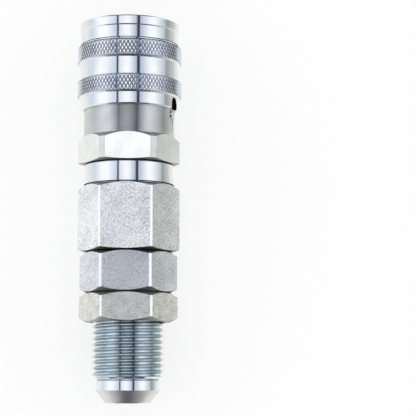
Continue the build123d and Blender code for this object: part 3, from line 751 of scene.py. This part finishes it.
# Ground steel: the wheel's fine rings give it an even, soft sheen.
ground_steel = steel("ground valve steel", "#D4D6D8", "#C4C6C9", 0.16, 4.0, 0.3, 0.0008, 0.25, 0.0012)
valve_start, face_station = (corner.y - flared_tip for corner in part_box("valve_sleeve"))
flange_radius = 0.0104
probe_radius = 0.00985
valve_bore = 0.00835
lip_radius = 0.00605
lip_length = 0.0045
flange_length = 0.002
valve_sleeve = turned("valve_sleeve_piece", [
    (valve_start, valve_bore), (valve_start, flange_radius - small_edge),
    (valve_start + small_edge, flange_radius), (valve_start + flange_length, flange_radius),
    (valve_start + flange_length, probe_radius), (face_station - small_edge, probe_radius),
    (face_station, probe_radius - small_edge), (face_station, lip_radius),
    (face_station - lip_length, lip_radius), (face_station - lip_length, valve_bore),
], [ground_steel])
finished(valve_sleeve, "valve", ["valve_sleeve"])


# Centre stem: one turned piece with a flat head. It stands still in the middle, held by a perforated disc
# and a small nut at its rear end.
stem_radius = 0.006
stem_neck = 0.0028
stem_thread = 0.0023
stem_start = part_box("centre_stem")[0].y - flared_tip
head_start = face_station - 0.004
stem_groove_end = face_station - 0.001
stem_groove_start = stem_groove_end - 0.0016
stem_groove = stem_radius - 0.0011
stem_edge = 0.0001
stem_thread_chamfer = 0.0003
head_slope = 0.0022
centre_stem = turned("centre_stem_piece", [
    (stem_start, 0), (stem_start, stem_thread - stem_thread_chamfer),
    (stem_start + stem_thread_chamfer, stem_thread),
    (carrier_end, stem_thread), (carrier_end, stem_neck), (head_start - head_slope, stem_neck),
    (head_start, stem_radius), (stem_groove_start, stem_radius), (stem_groove_start, stem_groove),
    (stem_groove_end, stem_groove), (stem_groove_end, stem_radius), (face_station - stem_edge, stem_radius),
    (face_station, stem_radius - stem_edge), (face_station, 0),
], [ground_steel])
finished(centre_stem, "body", ["centre_stem"])
for node in ("stem_carrier", "stem_nut"):
    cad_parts[node].data.materials.clear()
    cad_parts[node].data.materials.append(ground_steel)


# Seals and backup rings: black nitrile seals, and stiff off-white plastic rings beside two of them. They
# are moulded, so they are plain and dull.
def moulded(name, light, dark, roughness):
    """A dull moulded material with a faint change of tone, in patches of 1.5 mm."""
    patch_mm = 1.5
    material = bpy.data.materials.new(name)
    material.use_nodes = True
    tree = material.node_tree
    tree.nodes.clear()
    tone = add(tree, "ShaderNodeTexNoise", {
        "Vector": add(tree, "ShaderNodeTexCoord").outputs["Object"], "Scale": 1000 / patch_mm, "Detail": 3.0})
    tint = add(tree, "ShaderNodeMixRGB", {
        "Fac": tone.outputs["Fac"], "Color1": linear(dark), "Color2": linear(light)})
    surface = add(tree, "ShaderNodeBsdfPrincipled", {
        "Base Color": tint.outputs["Color"], "Roughness": roughness})
    add(tree, "ShaderNodeOutputMaterial", {"Surface": surface.outputs["BSDF"]})
    return material


# Nitrile: near black and dull, so a seal reads as a dark ring.
nitrile = moulded("black nitrile rubber", "#262626", "#1A1A1A", 0.6)
# Backup plastic: off-white, with a broad, soft highlight.
backup = moulded("off-white backup plastic", "#E8E4DA", "#D8D3C8", 0.5)
for node, material in (("stud_seal", nitrile), ("spigot_seal", nitrile), ("socket_seal", nitrile),
                       ("stem_seal", nitrile), ("spigot_backup_ring", backup),
                       ("socket_backup_ring", backup)):
    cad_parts[node].data.materials.clear()
    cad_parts[node].data.materials.append(material)


# Floor: white paper under the coupler, tipped so that the rear knurl and the locknut both touch it, as
# they would on a table. In the metal's reflections it glows with painted light: paler to the left, greyer to
# the right, and painted shade darkens it past the coupler's ends.
def graded(tree, value, low, high, stops):
    """Colours over a value, from (value, colour) stops."""
    share = add(tree, "ShaderNodeMapRange", {
        "Value": value, "From Min": low, "From Max": high, "To Min": 0.0, "To Max": 1.0})
    ramp = add(tree, "ShaderNodeValToRGB", {"Fac": share.outputs["Result"]})
    elements = ramp.color_ramp.elements
    elements.remove(elements[1])
    elements[0].position = (stops[0][0] - low) / (high - low)
    elements[0].color = linear(stops[0][1])
    for stop, colour in stops[1:]:
        elements.new((stop - low) / (high - low)).color = linear(colour)
    return ramp.outputs["Color"]


bpy.ops.mesh.primitive_plane_add(size=1.2)
floor = bpy.context.object
floor.name = "floor"
touch_front = Vector((0, flared_tip + skirt_end, 0))
touch_rear = Vector((0, flared_tip + nut_start, axis_height - nut_width / 2))
floor.rotation_euler.x = -atan((touch_rear.z - touch_front.z) / (touch_front.y - touch_rear.y))
floor.location = (touch_front + touch_rear) / 2
# Paper: plain, matt and even, so the coupler's soft shadow is all that shows on it. Its glow makes up for
# the light that a grey sheet would swallow. The metal sees the painted light and shade below instead.
paper = bpy.data.materials.new("white paper")
paper.use_nodes = True
tree = paper.node_tree
tree.nodes.clear()
ray = add(tree, "ShaderNodeLightPath")
sheet = add(tree, "ShaderNodeBsdfDiffuse", {"Color": linear("#8C8C8C")})
glow = add(tree, "ShaderNodeEmission", {"Color": (1, 1, 1, 1), "Strength": 0.73})
lifted = add(tree, "ShaderNodeAddShader", {0: sheet.outputs["BSDF"], 1: glow.outputs["Emission"]})
side = add(tree, "ShaderNodeSeparateXYZ", {"Vector": add(tree, "ShaderNodeTexCoord").outputs["Object"]})
# Painted light and shade, seen only in reflections: paler to the left, greyer to the right, darker past the
# ends.
tones = graded(tree, side.outputs["X"], -0.12, 0.12, [
    (-0.119, "#DCE2E6"), (-0.06, "#EDEEEC"), (-0.02, "#F2F2F0"), (0.022, "#F4F4F0"), (0.035, "#E8E8E4"),
    (0.05, "#C6C9C3"), (0.075, "#B6BAB4"), (0.118, "#A0A6A8")])
ends = graded(tree, side.outputs["Y"], -0.2, 0.2, [
    (-0.125, "#3C3A3E"), (-0.1, "#FFFFFF"), (0.1, "#FFFFFF"), (0.14, "#5C5E64")])
aside = add(tree, "ShaderNodeMath", {0: side.outputs["X"]}, operation="ABSOLUTE")
near = add(tree, "ShaderNodeMapRange", {
    "Value": aside.outputs["Value"], "From Min": 0.04, "From Max": 0.1, "To Min": 1.0, "To Max": 0.0})
painted_floor_light = add(tree, "ShaderNodeMixRGB", {
    "Fac": near.outputs["Result"], "Color1": tones, "Color2": ends}, blend_type="MULTIPLY")
mirrored = add(tree, "ShaderNodeEmission", {"Color": painted_floor_light.outputs["Color"], "Strength": 1.12})
shown = add(tree, "ShaderNodeMixShader", {
    0: ray.outputs["Is Glossy Ray"], 1: lifted.outputs["Shader"], 2: mirrored.outputs["Emission"]})
add(tree, "ShaderNodeOutputMaterial", {"Surface": shown.outputs["Shader"]})
floor.data.materials.append(paper)


# Light: the coupler lies in a white light tent. Two dark gaps between the tent's panels, along the
# coupler's length, draw the two dark lines that run down every bright turned surface. The panel
# overhead is short, so satin surfaces are darker on top than at their sides.
world = bpy.data.worlds.new("light tent")
bpy.context.scene.world = world
world.use_nodes = True
tree = world.node_tree
tree.nodes.clear()
direction = add(tree, "ShaderNodeTexCoord").outputs["Generated"]
parts = add(tree, "ShaderNodeSeparateXYZ", {"Vector": direction})
angle = add(tree, "ShaderNodeMath", {0: parts.outputs["X"], 1: parts.outputs["Z"]}, operation="ARCTAN2")
from_top = add(tree, "ShaderNodeMath", {0: angle.outputs["Value"], 1: 180 / pi}, operation="MULTIPLY")
panels = graded(tree, from_top.outputs["Value"], -180, 180, [
    (-179, "#E6E6E4"), (-112, "#DFE4E9"), (-96, "#CBD6E0"), (-82, "#E6EEF6"), (-70, "#FDFEFF"),
    (-54, "#FDFEFF"), (-42, "#E6ECF3"), (-28, "#CBD2DD"), (-27, "#27355A"), (-23.5, "#27355A"),
    (-22, "#DDE3EC"), (-5, "#FEFEFF"), (3, "#F6F8FB"), (17, "#BCC2CF"), (19.5, "#9AA2B2"),
    (20.5, "#1F2A44"), (25.5, "#1F2A44"), (27, "#B4BDC9"), (40, "#DDE3EA"), (52, "#FBFCFE"),
    (62, "#FEFEFE"), (76, "#DFE4EA"), (88, "#C3C9CC"), (104, "#AFB5B4"), (118, "#C0C4BF"),
    (134, "#E0E1DD"), (179, "#E4E4E1")])
overhead = graded(tree, parts.outputs["Y"], -1, 1, [
    (-0.99, "#4A4550"), (-0.5, "#5A5A62"), (-0.2, "#8E9098"), (-0.06, "#FFFFFF"), (0.3, "#FFFFFF"),
    (0.42, "#8E9098"), (0.6, "#5E6068"), (0.99, "#A0A4AC")])
beside = graded(tree, parts.outputs["Y"], -1, 1, [
    (-0.99, "#58505A"), (-0.93, "#6E666C"), (-0.8, "#C8C8C8"), (-0.6, "#FFFFFF"), (0.7, "#FFFFFF"),
    (0.9, "#D6D8DE"), (0.99, "#D0D4DA")])
near_top = add(tree, "ShaderNodeMath", {0: from_top.outputs["Value"]}, operation="ABSOLUTE")
side_share = add(tree, "ShaderNodeMapRange", {
    "Value": near_top.outputs["Value"], "From Min": 22.0, "From Max": 50.0, "To Min": 0.0, "To Max": 1.0})
length_light = add(tree, "ShaderNodeMixRGB", {
    "Fac": side_share.outputs["Result"], "Color1": overhead, "Color2": beside})
tent = add(tree, "ShaderNodeMixRGB", {
    "Fac": 1.0, "Color1": panels, "Color2": length_light.outputs["Color"]}, blend_type="MULTIPLY")
seen = add(tree, "ShaderNodeLightPath")
plain = add(tree, "ShaderNodeBackground", {"Color": (1, 1, 1, 1), "Strength": 1.0})
lamps = add(tree, "ShaderNodeBackground", {"Color": tent.outputs["Color"], "Strength": 1.17})
sky = add(tree, "ShaderNodeMixShader", {
    0: seen.outputs["Is Glossy Ray"], 1: plain.outputs["Background"], 2: lamps.outputs["Background"]})
add(tree, "ShaderNodeOutputWorld", {"Surface": sky.outputs["Shader"]})
bpy.context.scene.view_settings.view_transform = "Standard"
